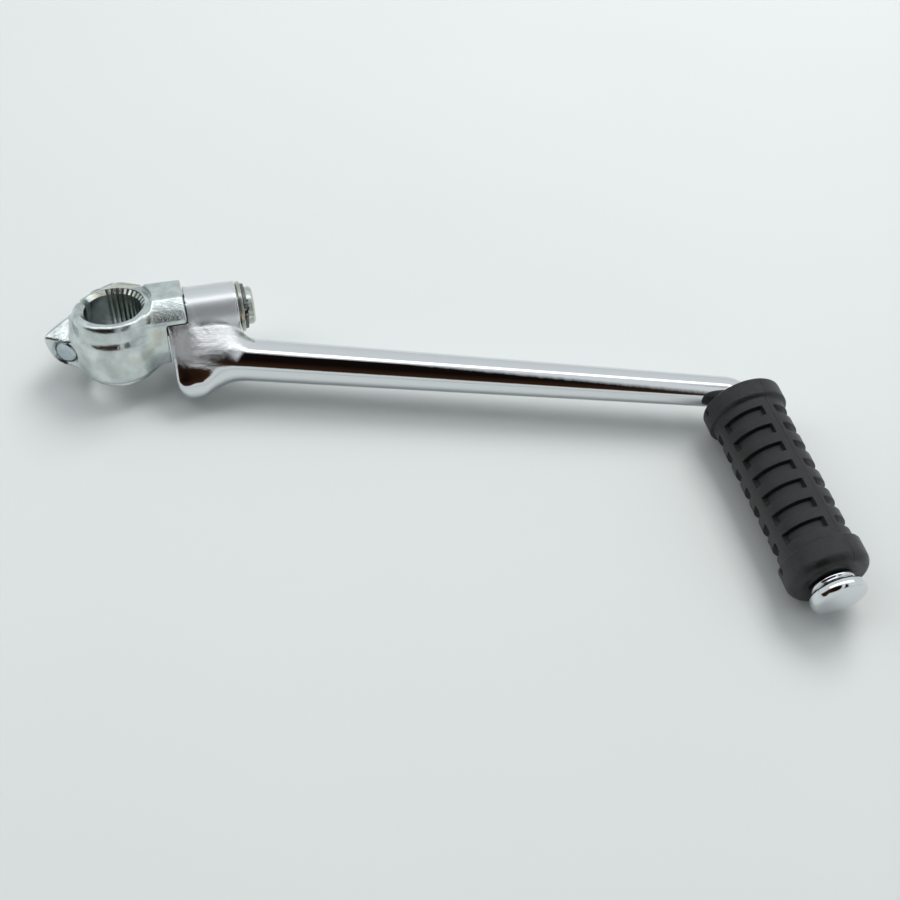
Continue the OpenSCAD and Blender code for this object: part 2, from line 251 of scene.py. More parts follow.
hubTurn = turnX(-lean)
hubShift = hubTurn @ np.array([0, 0, -hubMiddle])
slitAngle = math.radians(147)
boltOut, boltUp = 13.6, 12.0
boltTurn = hubTurn @ turnZ(slitAngle) @ turnX(math.pi / 2)
boltShift = hubTurn @ (turnZ(slitAngle) @ np.array([boltOut, 0, 0]) + np.array([0, 0, boltUp])) + hubShift
kneeTurn = turnY(math.pi / 2)
rodAngle = math.radians(-16.2)
pinAngle = math.radians(-88.2)
rodStart = np.array([30.0, -12.4, -2.1])
rodDir = np.array([math.cos(rodAngle), math.sin(rodAngle), 0])
rodLength = 179.5
bendBack = 4.36
corner = rodStart + rodDir * rodLength
pinTurn = turnZ(pinAngle) @ turnY(math.pi / 2)


# World points to the coordinates of a frame: the transposed turn applied to the point less the origin.
def into(turn, shift, x, y, z):
    x, y, z = x - shift[0], y - shift[1], z - shift[2]
    return tuple(turn[0, i] * x + turn[1, i] * y + turn[2, i] * z for i in range(3))


# Frame points out to the world.
def outOf(turn, shift, points):
    return np.asarray(points) @ turn.T + shift


print("stage: materials")


# Adds a node with its settings and the links into its inputs.
def addNode(tree, kind, settings=None, links=None, values=None):
    node = tree.nodes.new("ShaderNode" + kind)
    for k, v in (settings or {}).items():
        setattr(node, k, v)
    for k, v in (values or {}).items():
        node.inputs[k].default_value = v
    for k, v in (links or {}).items():
        tree.links.new(v, node.inputs[k])
    return node


# Noise over object coordinates: its value 0 to 1.
def noise(tree, coord, scale, detail=4, rough=0.55, distortion=0.0):
    values = {"Scale": scale, "Detail": detail, "Roughness": rough, "Distortion": distortion}
    return addNode(tree, "TexNoise", {}, {"Vector": coord}, values).outputs["Fac"]


# Ramp from one value range to another, held at the ends.
def spread(tree, value, a, b, c, d):
    values = {"From Min": a, "From Max": b, "To Min": c, "To Max": d}
    return addNode(tree, "MapRange", {"clamp": True}, {"Value": value}, values).outputs["Result"]


# Two colours mixed by a factor.
def blendColours(tree, factor, a, b):
    node = addNode(tree, "Mix", {"data_type": "RGBA"})
    tree.links.new(factor, node.inputs["Factor"])
    for socket, v in ((node.inputs[6], a), (node.inputs[7], b)):
        if isinstance(v, (list, tuple)):
            socket.default_value = v
        else:
            tree.links.new(v, socket)
    return node.outputs[2]


# Product or other plain sum of two values.
def maths(tree, operation, a, b=None):
    node = addNode(tree, "Math", {"operation": operation})
    for i, v in enumerate((a, b)):
        if v is None:
            continue
        if isinstance(v, (int, float)):
            node.inputs[i].default_value = v
        else:
            tree.links.new(v, node.inputs[i])
    return node.outputs[0]


# Starts a material: its node tree, the shader node and the object coordinates.
def begin(name, values):
    material = bpy.data.materials.new(name)
    material.use_nodes = True
    tree = material.node_tree
    shader = tree.nodes["Principled BSDF"]
    for k, v in values.items():
        shader.inputs[k].default_value = v
    coord = addNode(tree, "TexCoord").outputs["Object"]
    return material, tree, shader, coord


# Bump from a height value, of a real depth in metres.
def bump(tree, shader, height, strength, distance):
    node = addNode(tree, "Bump", {}, {"Height": height}, {"Strength": strength, "Distance": distance})
    tree.links.new(node.outputs["Normal"], shader.inputs["Normal"])


# Clear zinc plate over forged steel: pale blue grey, satin, clouded, with straw tints in patches.
def zincMaterial(name, colour, tint, tintAmount, rough):
    material, tree, shader, coord = begin(name, {"Metallic": 1.0})
    cloud = noise(tree, coord, 160, 5)
    patch = noise(tree, coord, 70, 3, 0.5, 0.6)
    fine = noise(tree, coord, 1400, 3)
    dark = [c * 0.66 for c in colour[:3]] + [1]
    base = blendColours(tree, spread(tree, cloud, 0.35, 0.7, 0, 1), dark, colour)
    base = blendColours(tree, spread(tree, patch, 0.56, 0.78, 0, tintAmount), base, tint)
    tree.links.new(base, shader.inputs["Base Color"])
    tree.links.new(spread(tree, cloud, 0.3, 0.7, rough * 1.25, rough * 0.8), shader.inputs["Roughness"])
    height = maths(tree, "ADD", maths(tree, "MULTIPLY", cloud, 1.0), maths(tree, "MULTIPLY", fine, 0.25))
    bump(tree, shader, height, 0.6, 0.0003)
    return material


# Bright chrome plate on a polished forging: a mirror with a slight orange peel, left rough where the attribute says.
def chromeMaterial():
    material, tree, shader, coord = begin("bright_chrome_plate", {"Metallic": 1.0})
    rough = addNode(tree, "Attribute", {"attribute_name": "asForged"}).outputs["Fac"]
    peel = noise(tree, coord, 260, 2, 0.4)
    grain = noise(tree, coord, 2600, 4, 0.75)
    cloud = noise(tree, coord, 700, 3, 0.6)
    tree.links.new(blendColours(tree, rough, srgb("#dfe2e4"), srgb("#f6f7f9")), shader.inputs["Base Color"])
    dull = addNode(tree, "Attribute", {"attribute_name": "satin"}).outputs["Fac"]
    dullness = maths(tree, "MAXIMUM", spread(tree, rough, 0, 1, 0.035, 0.2), spread(tree, dull, 0, 1, 0.0, 0.34))
    tree.links.new(maths(tree, "ADD", dullness, maths(tree, "MULTIPLY", cloud, 0.02)), shader.inputs["Roughness"])
    smoothHeight = maths(tree, "MULTIPLY", peel, 0.12)
    roughHeight = maths(tree, "MULTIPLY", maths(tree, "ADD", grain, maths(tree, "MULTIPLY", cloud, 1.6)), rough)
    bump(tree, shader, maths(tree, "ADD", smoothHeight, roughHeight), 0.7, 0.00026)
    return material


# Moulded black rubber: charcoal, dull, with dusty streaks.
def rubberMaterial():
    material, tree, shader, coord = begin("black_moulded_rubber", {"Metallic": 0.0, "Specular IOR Level": 0.5})
    dust = noise(tree, coord, 240, 6, 0.7, 0.4)
    patch = noise(tree, coord, 60, 3)
    fine = noise(tree, coord, 1800, 3, 0.6)
    amount = maths(tree, "MULTIPLY", spread(tree, dust, 0.42, 0.8, 0, 1), spread(tree, patch, 0.35, 0.7, 0.15, 0.6))
    base = blendColours(tree, amount, srgb("#131314"), srgb("#3a3b3e"))
    tree.links.new(base, shader.inputs["Base Color"])
    tree.links.new(spread(tree, dust, 0.3, 0.8, 0.34, 0.58), shader.inputs["Roughness"])
    bump(tree, shader, maths(tree, "ADD", fine, maths(tree, "MULTIPLY", dust, 0.6)), 0.5, 0.00012)
    return material


# Blued spring steel: dark grey, half polished.
def springMaterial():
    material, tree, shader, coord = begin("blued_spring_steel", {"Metallic": 1.0})
    cloud = noise(tree, coord, 500, 4)
    tree.links.new(blendColours(tree, cloud, srgb("#56595a"), srgb("#8b8f90")), shader.inputs["Base Color"])
    tree.links.new(spread(tree, cloud, 0.3, 0.7, 0.4, 0.25), shader.inputs["Roughness"])
    bump(tree, shader, cloud, 0.3, 0.00008)
    return material


hubZinc = zincMaterial("clear_zinc_forging", srgb("#dfe8e6"), srgb("#c6b692"), 0.75, 0.22)
boltZinc = zincMaterial("clear_zinc_bolt", srgb("#c6d2d8"), srgb("#c4bda6"), 0.35, 0.25)
washerZinc = zincMaterial("straw_zinc_washer", srgb("#cfd2c8"), srgb("#c6ac72"), 0.9, 0.25)
chrome = chromeMaterial()
rubber = rubberMaterial()
spring = springMaterial()

print("stage: hub")

# Drums as radius, lower end, upper end, rounding; outlines as corners in the cheek's and the lug's own planes.
hub = {"height": 26.0, "cell": 0.36,
       "foot": (11.7, 1.4, 12, 0.5), "body": (14.4, 3.6, 19.0, 1.9), "collar": (13.5, 12, 26.0, 2.6),
       "upper": ((-10, 21.3), (-10, 23.6), (-9.2, 24.6), (-3.2, 28.8), (7.2, 28.5), (10, 25), (10, 21.3)),
       "upperLow": 8.5, "blockEnd": 23.35, "stopUp": 21.3,
       "lower": ((-10, 22), (10, 22), (10.4, 13), (8.4, 5.6), (-8.4, 5.6), (-10.4, 13)), "lowerLow": 4, "cheek": 16.4,
       "rimR": 13.2, "rimStep": 0.1,
       "ear": ((-13, 13.5), (-3.0, 13.0), (7.6, 4.6), (7.2, 0.6), (5.2, -3.6), (2.2, -5.6), (-4, -6.0),
               (-13, -6.4)),
       "earTaper": 0.16, "taperFrom": -6, "lugNear": 11.8, "lugFar": 16.0, "noseUp": 4.4, "noseSlope": (0.75, 0.66),
       "slit": 2.6, "slitIn": -6, "boltR": 4.06, "sinkR": 4.9, "sinkDeep": 0.7, "sinkOut": 2,
       "spigotR": 6.4, "spigotLow": 12, "spigotEnd": 46.4, "spigotEdge": 0.7,
       "clipLow": 42.69, "clipHigh": 43.91, "clipR": 5.7,
       "ballX": 33.0, "trackR": 7.9, "ballR": 2.45, "trackOver": 19}


# Hub field: foot, body and collar drums, the block over the stop, the cheek, the pinch lug and the spigot joined,
# less the slit, the bolt hole, the clip groove and the track of the detent ball.
def hubField(x, y, z):
    hx, hy, hz = into(hubTurn, hubShift, x, y, z)
    r = np.hypot(hx, hy)
    d = drum(r, hz, *hub["foot"])
    d = join(d, drum(r, hz, *hub["body"]), 0.6)
    d = join(d, drum(r, hz, *hub["collar"]), 1.8)
    upper = prism(hy, hz, hub["upper"], 0.9)
    upper = meet(upper, np.maximum(hx - hub["blockEnd"], hub["upperLow"] - hx), 0.9)
    upper = np.maximum(upper, hub["stopUp"] - hz)
    lower = prism(hy, hz, hub["lower"], 0.8)
    lower = meet(lower, np.maximum(hx - hub["cheek"], hub["lowerLow"] - hx), 0.5)
    aboveRim = np.maximum(hub["height"] - hub["rimStep"] - hz, r - hub["rimR"])
    block = meet(join(upper, lower, 0.8), -aboveRim, 1.0)
    d = join(d, block, 2.2)
    bx, by, bz = into(boltTurn, boltShift, x, y, z)
    ear = prism(bx + hub["earTaper"] * np.maximum(bz - hub["taperFrom"], 0), by, hub["ear"], 1.6)
    ear = meet(ear, np.maximum(-hub["lugNear"] - bz, bz - hub["lugFar"]), 0.9)
    up, back = hub["noseSlope"]
    ear = meet(ear, (by - hub["noseUp"]) * up - (bz + hub["lugNear"]) * back, 0.5)
    d = join(d, ear, 1.8)
    kr = np.hypot(y - kneeY, z - kneeZ)
    spigot = chamferDrum(kr, x, hub["spigotR"], hub["spigotLow"], hub["spigotEnd"], hub["spigotEdge"])
    d = join(d, spigot, 0.25)
    slit = np.maximum(np.abs(bz) - hub["slit"] / 2, hub["slitIn"] - bx)
    d = np.maximum(d, -slit)
    d = np.maximum(d, hub["boltR"] - np.hypot(bx, by))
    sinkLow, sinkHigh = -hub["lugNear"] - hub["sinkOut"], -hub["lugNear"] + hub["sinkDeep"]
    d = np.maximum(d, -chamferDrum(np.hypot(bx, by), bz, hub["sinkR"], sinkLow, sinkHigh, hub["sinkDeep"]))
    groove = np.maximum(np.maximum(hub["clipLow"] - x, x - hub["clipHigh"]), hub["clipR"] - kr)
    d = np.maximum(d, -groove)
    return np.maximum(d, -trackField(x, y, z))


# Lobe of the arm: centre of its round end in y and z, and its angle about the knuckle.
lobePlace = (-16.4, -7.2)
lobeTurn = math.atan2(lobePlace[1] - kneeZ, lobePlace[0] - kneeY)


# Track of the detent ball: a round groove about the knuckle over the swing.
def trackField(x, y, z):
    a = np.arctan2(z - kneeZ, y - kneeY) - lobeTurn
    a = (a - swing / 2 + math.pi) % (2 * math.pi) - math.pi
    over = swing / 2 + math.radians(hub["trackOver"])
    ring = np.hypot(np.hypot(y - kneeY, z - kneeZ) - hub["trackR"], x - hub["ballX"]) - hub["ballR"]
    return np.maximum(ring, (np.abs(a) - over) * 7)


low = np.array([-26.0, -19.0, -17.5])
high = np.array([48.0, 25.0, 18.5])
points, quads = skin(hubField, low, high, hub["cell"])
hubObject = meshObject("hub_forging", points, quads)

# Cutter for the bore: plain wall beside the slit, straight sided spline grooves over the rest, a cone at the mouth.
bore = {"tipR": 9.5, "rootR": 10.4, "tipHalf": 0.42, "rootHalf": 0.24, "teeth": 27, "pitch": math.radians(10),
        "land": math.radians(44), "landSteps": 40, "low": -1.0, "mouthLow": 24.8, "mouthR": 10.9, "high": 31.0}
outline = []
start = slitAngle + bore["land"]
tip, root = bore["tipHalf"] / bore["tipR"], bore["rootHalf"] / bore["rootR"]
for i in range(bore["teeth"]):
    mid = start + (i + 0.5) * bore["pitch"]
    for turn, r in ((-tip, bore["tipR"]), (-root, bore["rootR"]), (root, bore["rootR"]), (tip, bore["tipR"])):
        outline.append((r, mid + turn))
landStart = start + bore["teeth"] * bore["pitch"]
for a in np.linspace(landStart, slitAngle + 2 * math.pi + bore["land"], bore["landSteps"])[1:-1]:
    outline.append((bore["tipR"], a))
outline = np.array(outline)
mouth = np.full(len(outline), bore["mouthR"])
rows = []
for z, r in ((bore["low"], outline[:, 0]), (bore["mouthLow"], outline[:, 0]), (hub["height"], mouth),
             (hub["height"] + 1.0, mouth), (bore["high"], mouth)):
    rows.append(np.stack([r * np.cos(outline[:, 1]), r * np.sin(outline[:, 1]), np.full(len(r), z)], 1))
cutterPoints = outOf(hubTurn, hubShift, np.concatenate(rows))
cutter = meshObject("bore_cutter", cutterPoints, rowsToFaces(len(rows), len(outline)), smooth=False)
modifier = hubObject.modifiers.new("bore", "BOOLEAN")
modifier.operation = "DIFFERENCE"
modifier.solver = "EXACT"
modifier.object = cutter
shown = bpy.context.evaluated_depsgraph_get()
bored = bpy.data.meshes.new_from_object(hubObject.evaluated_get(shown))
hubObject.modifiers.clear()
hubObject.data = bored
bpy.data.objects.remove(cutter)
bored.shade_smooth()
bored.set_sharp_from_angle(angle=math.radians(32))

print("stage: arm")

# Pin rings are (distance along the pin, radius): collar, neck and pressed head.
arm = {"barrelR": 9.0, "barrelLow": 23.7, "barrelHigh": 41.0, "boreR": 6.45,
       "lobeLow": 16.75, "lobeR": 6.9, "lobeWide": 7.2, "lobeFlare": 6.2, "crown": 0.006, "crownAt": 28.0,
       "endRight": 0.08, "endLeft": 0.06,
       "webR": 7.5, "webThin": 1.9, "webFade": 0.035, "webAxis": 30, "webLow": 22, "webHigh": 38.5, "webFlare": 4.0,
       "neck": ((25.5, -16.2, -5.8), (36.0, -14.2, -2.1), 6.5, 7.35),
       "stopUp": 18.8, "stopRoom": 2.15, "pocketDeep": 14.5,
       "rodR0": 7.4, "rodR1": 5.4, "rodBack": 1.0, "cutAt": 46.0, "lap": 2.0, "lapIn": 0.02, "bendR": 6.0,
       "pinLead": 4.4,
       "pin": ((6, 5.4), (12, 5.4), (40, 5.4), (76.0, 5.4), (76.6, 5.9), (76.9, 6.2), (76.95, 7.0), (77.1, 7.2),
               (77.9, 7.2), (78.15, 7.0), (78.25, 6.2), (78.6, 5.9), (79.1, 6.1), (79.35, 7.6), (79.45, 8.6),
               (79.75, 9.1), (80.2, 9.3), (81.2, 9.35), (82.2, 9.25), (82.8, 9.0), (83.2, 8.6), (83.38, 8.0),
               (83.4, 6.0), (83.42, 3.0), (83.42, 0.6)),
       "headAt": 78.9, "cell": 0.42}


# Radius of the rod at a distance along its axis: even taper from start to bend.
def rodRadius(s):
    return arm["rodR0"] + (arm["rodR1"] - arm["rodR0"]) * np.clip(s / (rodLength - bendBack), 0, 1)


# Arm field near the knuckle: barrel, lobe, web and rod joined with wide fillets,
# less the pivot bore, the room over the stop faces and the pocket of the detent.
def armField(x, y, z):
    ky, kz = y - kneeY, z - kneeZ
    kr = np.hypot(ky, kz)
    barrel = drum(kr, x, arm["barrelR"], arm["lobeLow"], arm["barrelHigh"], 0.5)
    dy, dz = lobePlace[0] - kneeY, lobePlace[1] - kneeZ
    reach = math.hypot(dy, dz)
    uy, uz = dy / reach, dz / reach
    along = ky * uy + kz * uz
    t = np.clip(along / reach, 0, 1)
    flat = np.hypot(ky - t * dy, kz - t * dz) - (arm["barrelR"] + (arm["lobeR"] - arm["barrelR"]) * t)
    flat = flat + arm["crown"] * t * (x - arm["crownAt"]) ** 2
    wide = arm["lobeLow"] + arm["lobeWide"] + arm["lobeFlare"] * t
    beyond = np.maximum(along - reach, 0) ** 2
    lobe = meet(flat, x - wide + arm["endRight"] * beyond, 2.8)
    lobe = meet(lobe, arm["lobeLow"] - x + arm["endLeft"] * beyond, 2.2)
    rod = bar(x, y, z, rodStart - rodDir * arm["rodBack"], corner - rodDir * bendBack, arm["rodR0"], arm["rodR1"])
    wy = rodStart[1] + (x - arm["webAxis"]) * math.tan(rodAngle) - kneeY
    wz = rodStart[2] - kneeZ
    t = np.clip((ky * wy + kz * wz) / (wy * wy + wz * wz), 0, 1)
    webR = arm["webR"] - arm["webThin"] * t * t - arm["webFade"] * np.maximum(x - arm["webAxis"], 0) ** 2
    web = np.hypot(ky - t * wy, kz - t * wz) - webR
    web = meet(web, np.maximum(arm["webLow"] - x, x - arm["webHigh"] - arm["webFlare"] * t), 4.5)
    d = join(join(barrel, web, 0.8), rod, 6.0)
    d = join(d, lobe, 2.2)
    d = join(d, bar(x, y, z, *arm["neck"]), 1.2)
    d = np.maximum(d, arm["boreR"] - kr)
    hx, hy, hz = into(hubTurn, hubShift, x, y, z)
    for a in (0, swing):
        above = math.sin(a) * hy + math.cos(a) * (hz - arm["stopUp"])
        d = np.maximum(d, -np.maximum(arm["stopRoom"] - above, x - arm["barrelLow"]))
    d = np.maximum(d, arm["lobeLow"] - x)
    pocket = np.hypot((ky * uz - kz * uy), x - hub["ballX"]) - hub["ballR"]
    return np.maximum(d, -np.maximum(np.maximum(pocket, -along), along - arm["pocketDeep"]))


low = np.array([15.5, -38.0, -17.5])
high = np.array([84.0, 14.0, 17.0])
points, quads = skin(armField, low, high, arm["cell"])
along = (points - rodStart) @ rodDir
keep = along < arm["cutAt"]
quads = quads[keep[quads].all(1)]
used = np.unique(quads)
renumber = -np.ones(len(points), np.int64)
renumber[used] = np.arange(len(used))
points, quads = points[used], renumber[quads]

# Rod, bend and pedal pin: rings round a path, each with its own radius.
path = []
across = np.array([-rodDir[1], rodDir[0], 0])
for s in np.linspace(arm["cutAt"] - arm["lap"], rodLength - bendBack, 90):
    path.append((rodStart + rodDir * s, rodDir, rodRadius(s) - (arm["lapIn"] if s < arm["cutAt"] else 0)))
centre = corner - rodDir * bendBack - across * arm["bendR"]
for a in np.linspace(0, rodAngle - pinAngle, 25)[1:]:
    forward = np.array([math.cos(rodAngle - a), math.sin(rodAngle - a), 0])
    left = np.array([-forward[1], forward[0], 0])
    path.append((centre + left * arm["bendR"], forward, arm["rodR1"]))
pinDir = np.array([math.cos(pinAngle), math.sin(pinAngle), 0])
for s, r in arm["pin"]:
    path.append((corner + pinDir * s, pinDir, r))
count = 96
ring = np.arange(count) * 2 * math.pi / count
# dent: how far the pressed head departs from round, as a share of its radius
dent = -0.035 * np.clip(np.cos(5 * ring + 0.6) - 0.55, 0, 1) - 0.02 * np.clip(np.cos(7 * ring + 2.0) - 0.6, 0, 1)
dent = dent + 0.012 * np.cos(2 * ring + 0.9)
rows = []
for p, forward, r in path:
    left = np.array([-forward[1], forward[0], 0])
    head = np.clip((np.dot(p - corner, pinDir) - arm["headAt"]) / 0.5, 0, 1) * np.clip(r / 8, 0, 1)
    reach = r * (1 + head * dent)
    rows.append(p + reach[:, None] * (np.cos(ring)[:, None] * left + np.sin(ring)[:, None] * np.array([0, 0, 1.0])))
rod = np.concatenate(rows)
rodFaces = rowsToFaces(len(path), count, closedEnds=False)[0]
cap = np.arange(count) + (len(path) - 1) * count
everything = np.concatenate([points, rod])
armObject = meshObject("chromed_arm", everything, [quads, rodFaces + len(points), (cap + len(points))[None]])
armObject.data.set_sharp_from_angle(angle=math.radians(40))

# Where the forging was left rough, a soft egg round the web's flats, and where it is satin, the barrel.
finish = {"middle": (27, -9.5, 3), "half": (13, 8.5, 8.5), "fall": 1.5, "gain": 1.6, "clearOf": (9.1, 1.4),
          "above": (-1.8, 3.5), "satinR": (10.6, 1.5), "satinEnd": (41.5, 2)}
ax, ay, az = everything.T
egg = sum(((v - m) / h) ** 2 for v, m, h in zip((ax, ay, az), finish["middle"], finish["half"]))
fromKnee = np.hypot(ay - kneeY, az - kneeZ)
away = np.clip((fromKnee - finish["clearOf"][0]) / finish["clearOf"][1], 0, 1)
top = np.clip((az - finish["above"][0]) / finish["above"][1], 0, 1)
rough = np.clip(np.exp(-egg ** finish["fall"]) * away * top * finish["gain"], 0, 1)
satin = np.clip((finish["satinR"][0] - fromKnee) / finish["satinR"][1], 0, 1)
satin = satin * np.clip((finish["satinEnd"][0] - ax) / finish["satinEnd"][1], 0, 1)
for name, value in (("asForged", rough), ("satin", satin)):
    attribute = armObject.data.attributes.new(name, "FLOAT", "POINT")
    attribute.data.foreach_set("value", value.astype(np.float32))

print("stage: grip")

# Slots in four fields round the rubber; marks are (distance, angle); cuts are extra grid lines at the collars.
grip = {"bodyR": 12.35, "collarR": 13.8, "firstRow": 10.5, "pitch": 7.42, "rows": 7, "slotW": 3.7, "slotAngle": 71.0,
        "fields": 4, "fieldAngle": 90, "depth": 1.6, "turn": 36.0, "twist": 0.9, "twistFrom": 12.3,
        "farCollar": (6.55, 0.6), "nearCollar": (62.0, 0.8), "edgeR": 0.9, "endFrom": 68.3, "endRun": 3.7, "endR": 2.6,
        "seam": 133.0, "seamW": 0.75, "seamDeep": 0.16,
        "marks": ((2.3, 229.0), (64.4, 243.5)), "markR": 1.15, "markWall": 0.35, "markDeep": 0.9,
        "lowCuts": (0.0, 0.25, 0.6, 1.1, 2.0, 3.5, 5.5, 6.3, 6.7, 6.9, 7.05, 7.3),
        "highCuts": (60.6, 61.6, 62.1, 62.35, 62.5, 62.65, 62.9, 63.6, 65.0, 67.0, 68.5, 69.3, 70.0, 70.7, 71.2, 71.6,
                     71.85, 72.0),
        "highEnd": ((10.6, 72.05), (9.0, 72.05), (6.2, 72.0), (5.6, 71.7), (5.45, 71.2)),
        "lowEnd": ((5.45, 0.8), (5.6, 0.2), (6.2, 0.0), (10.0, 0.0), (12.4, 0.0))}


# Smooth step from nought to one.
def ease(t):
    t = np.clip(t, 0, 1)
    return t * t * (3 - 2 * t)


# Rubber surface: a grid of angle and distance whose lines follow the slot walls, its radius the body's less the slots.
def gripMesh():
    e = 0.22
    cuts = list(grip["lowCuts"])
    for i in range(grip["rows"]):
        s0 = grip["firstRow"] + i * grip["pitch"]
        s1 = s0 + grip["slotW"]
        cuts += [s0 - 1.2, s0 - 0.4, s0 - e / 2, s0, s0 + e, s0 + 2 * e, s0 + 3 * e, (s0 + s1) / 2]
        cuts += [s1 - 3 * e, s1 - 2 * e, s1 - e, s1, s1 + e / 2, s1 + 0.4]
    cuts += grip["highCuts"]
    for mark in grip["marks"]:
        cuts += list(mark[0] + np.linspace(-1.3, 1.3, 11))
    s = np.array(sorted(set(np.round(cuts, 3))))
    turns = []
    w = 1.1
    for j in range(grip["fields"]):
        a0 = -grip["slotAngle"] / 2 + grip["fieldAngle"] * j
        a1 = a0 + grip["slotAngle"]
        turns += [a0 - 8.5, a0 - 5, a0 - 2, a0 - w / 2, a0, a0 + w, a0 + 2 * w, a0 + 3 * w]
        turns += list(np.linspace(a0 + 5, a1 - 5, 20))
        turns += [a1 - k * w for k in (3, 2, 1, 0)] + [a1 + w / 2, a1 + 2, a1 + 5]
    turns += list(grip["seam"] + np.array([-1.6, -0.9, -0.5, 0, 0.5, 0.9, 1.6]))
    for mark in grip["marks"]:
        turns += list(mark[1] + np.linspace(-6, 6, 11))
    a = np.array(sorted(set(np.round(turns, 2))))
    S, A = np.meshgrid(s, a, indexing="ij")
    body = np.full(S.shape, grip["bodyR"])

    step = grip["collarR"] - grip["bodyR"]
    body += step * (1 - ease((S - grip["farCollar"][0]) / grip["farCollar"][1]))
    body += step * ease((S - grip["nearCollar"][0]) / grip["nearCollar"][1])
    # a quarter round at the far edge, and a flatter round towards the near end
    body -= grip["edgeR"] * (1 - np.sqrt(np.clip(1 - (1 - np.clip(S / grip["edgeR"], 0, 1)) ** 2, 0, 1)))
    q = np.clip((S - grip["endFrom"]) / grip["endRun"], 0, 1)
    body -= grip["endR"] * (1 - np.sqrt(1 - 0.98 * q * q)) / (1 - math.sqrt(0.02))
    deep = np.zeros(S.shape)
    for i in range(grip["rows"]):
        s0 = grip["firstRow"] + i * grip["pitch"]
        inS = ease((S - s0 + 0.05) / 0.45) * ease((s0 + grip["slotW"] + 0.05 - S) / 0.45)
        for j in range(grip["fields"]):
            a0 = -grip["slotAngle"] / 2 + grip["fieldAngle"] * j
            inA = ease((A - a0 + 0.2) / 2.0) * ease((a0 + grip["slotAngle"] + 0.2 - A) / 2.0)
            deep = np.maximum(deep, inS * inA)
    body -= grip["depth"] * deep
    twist = -grip["twist"] * np.clip((S - grip["twistFrom"]) / grip["pitch"], -0.2, 6.4)
    angle = np.radians(A + grip["turn"] + twist)
    # moulding line along one rib, and a small round mark sunk in each collar
    seam = (A - grip["seam"]) / grip["seamW"]
    body -= grip["seamDeep"] * np.exp(-seam ** 2) * np.clip((S - 0.5) / 0.5, 0, 1) * (1 - deep)
    for s0, a0 in grip["marks"]:
        gap = np.hypot(S - s0, (A - a0) * math.radians(grip["collarR"]))
        body -= grip["markDeep"] * ease((grip["markR"] - gap) / grip["markWall"])
    outer = np.stack([body * np.cos(angle), body * np.sin(angle), S], -1)
    count = len(a)
    rows = [outer[i] for i in range(len(s))]
    for turn, rings in ((angle[-1], grip["highEnd"]), (angle[0], grip["lowEnd"])):
        for r, z in rings:
            rows.append(np.stack([r * np.cos(turn), r * np.sin(turn), np.full(count, z)], -1))
    return np.concatenate(rows), len(rows), count


points, rowCount, count = gripMesh()
gripShift = corner + pinDir * arm["pinLead"]
gripFaces = rowsToFaces(rowCount, count, closedEnds=False, looped=True)
gripObject = meshObject("ribbed_rubber", outOf(pinTurn, gripShift, points), gripFaces)
gripObject.data.set_sharp_from_angle(angle=math.radians(50))

print("stage: bolt")

# Rings of the flange and the head are (height, radius), the head's from the seat and from the top.
bolt = {"r": 4.0, "tip": -11.5, "seat": 16.0, "flangeH": 1.5, "af": 12.0, "headH": 5.9, "pitch": 1.25, "depth": 0.6,
        "tipEdge": 0.75, "threadEnd": 2.5, "shank": (3.2, 8.0),
        "flange": ((0, 7.3), (0.3, 7.75), (0.7, 7.8), (1.0, 7.7), (1.5, 7.1)),
        "cone": ((-1.1, 9), (-0.55, 6.55), (-0.1, 5.9), (0, 5.6), (-0.05, 3.0), (-0.05, 0.3))}


# Pinch bolt: a thread wave over the shank near the tip, a plain shank, a turned flange.
def boltShank():
    count = 64
    ring = np.arange(count) * 2 * math.pi / count
    thread = np.arange(bolt["tip"] + 0.02, 3.0, bolt["pitch"] / 10)
    z = np.concatenate([[bolt["tip"]], thread, bolt["shank"], [bolt["seat"] + 0.1]])
    rows = []
    for h in z:
        wave = np.abs(((h / bolt["pitch"] - ring / (2 * math.pi)) % 1) - 0.5) * 2
        r = bolt["r"] - bolt["depth"] * np.clip(wave * 1.25 - 0.12, 0, 1) * (1 if h < bolt["threadEnd"] else 0)
        r = np.minimum(r, bolt["r"] - bolt["tipEdge"] + h - bolt["tip"]) if h < bolt["tip"] + 1 else r
        r = r if np.ndim(r) else np.full(count, r)
        rows.append(np.stack([r * np.cos(ring), r * np.sin(ring), np.full(count, h)], 1))
    return np.concatenate(rows), rowsToFaces(len(rows), count)


# Hex head: six flats whose top corners are cut by a cone, standing on its flange.
def boltHead():
    count = 96
    ring = np.arange(count) * 2 * math.pi / count
    flat = bolt["af"] / 2 / np.cos((ring + math.pi / 6) % (math.pi / 3) - math.pi / 6)
    base, top = bolt["seat"], bolt["seat"] + bolt["flangeH"] + bolt["headH"]
    rows = []
    for h, r in bolt["flange"]:
        rows.append(np.stack([r * np.cos(ring), r * np.sin(ring), np.full(count, base + h)], 1))
    for h, limit in ((base + 1.6, 9),) + tuple((top + h, r) for h, r in bolt["cone"]):
        r = np.minimum(flat - (0.05 if limit < 9 else 0), limit)
        rows.append(np.stack([r * np.cos(ring), r * np.sin(ring), np.full(count, h)], 1))
    return np.concatenate(rows), rowsToFaces(len(rows), count)


shankPoints, shankFaces = boltShank()
headPoints, headFaces = boltHead()
allFaces = shankFaces + [f + len(shankPoints) for f in headFaces]
boltPoints = outOf(boltTurn, boltShift, np.concatenate([shankPoints, headPoints]))
boltObject = meshObject("pinch_bolt_plated", boltPoints, allFaces)
boltObject.data.set_sharp_from_angle(angle=math.radians(35))

print("stage: washer and circlip")

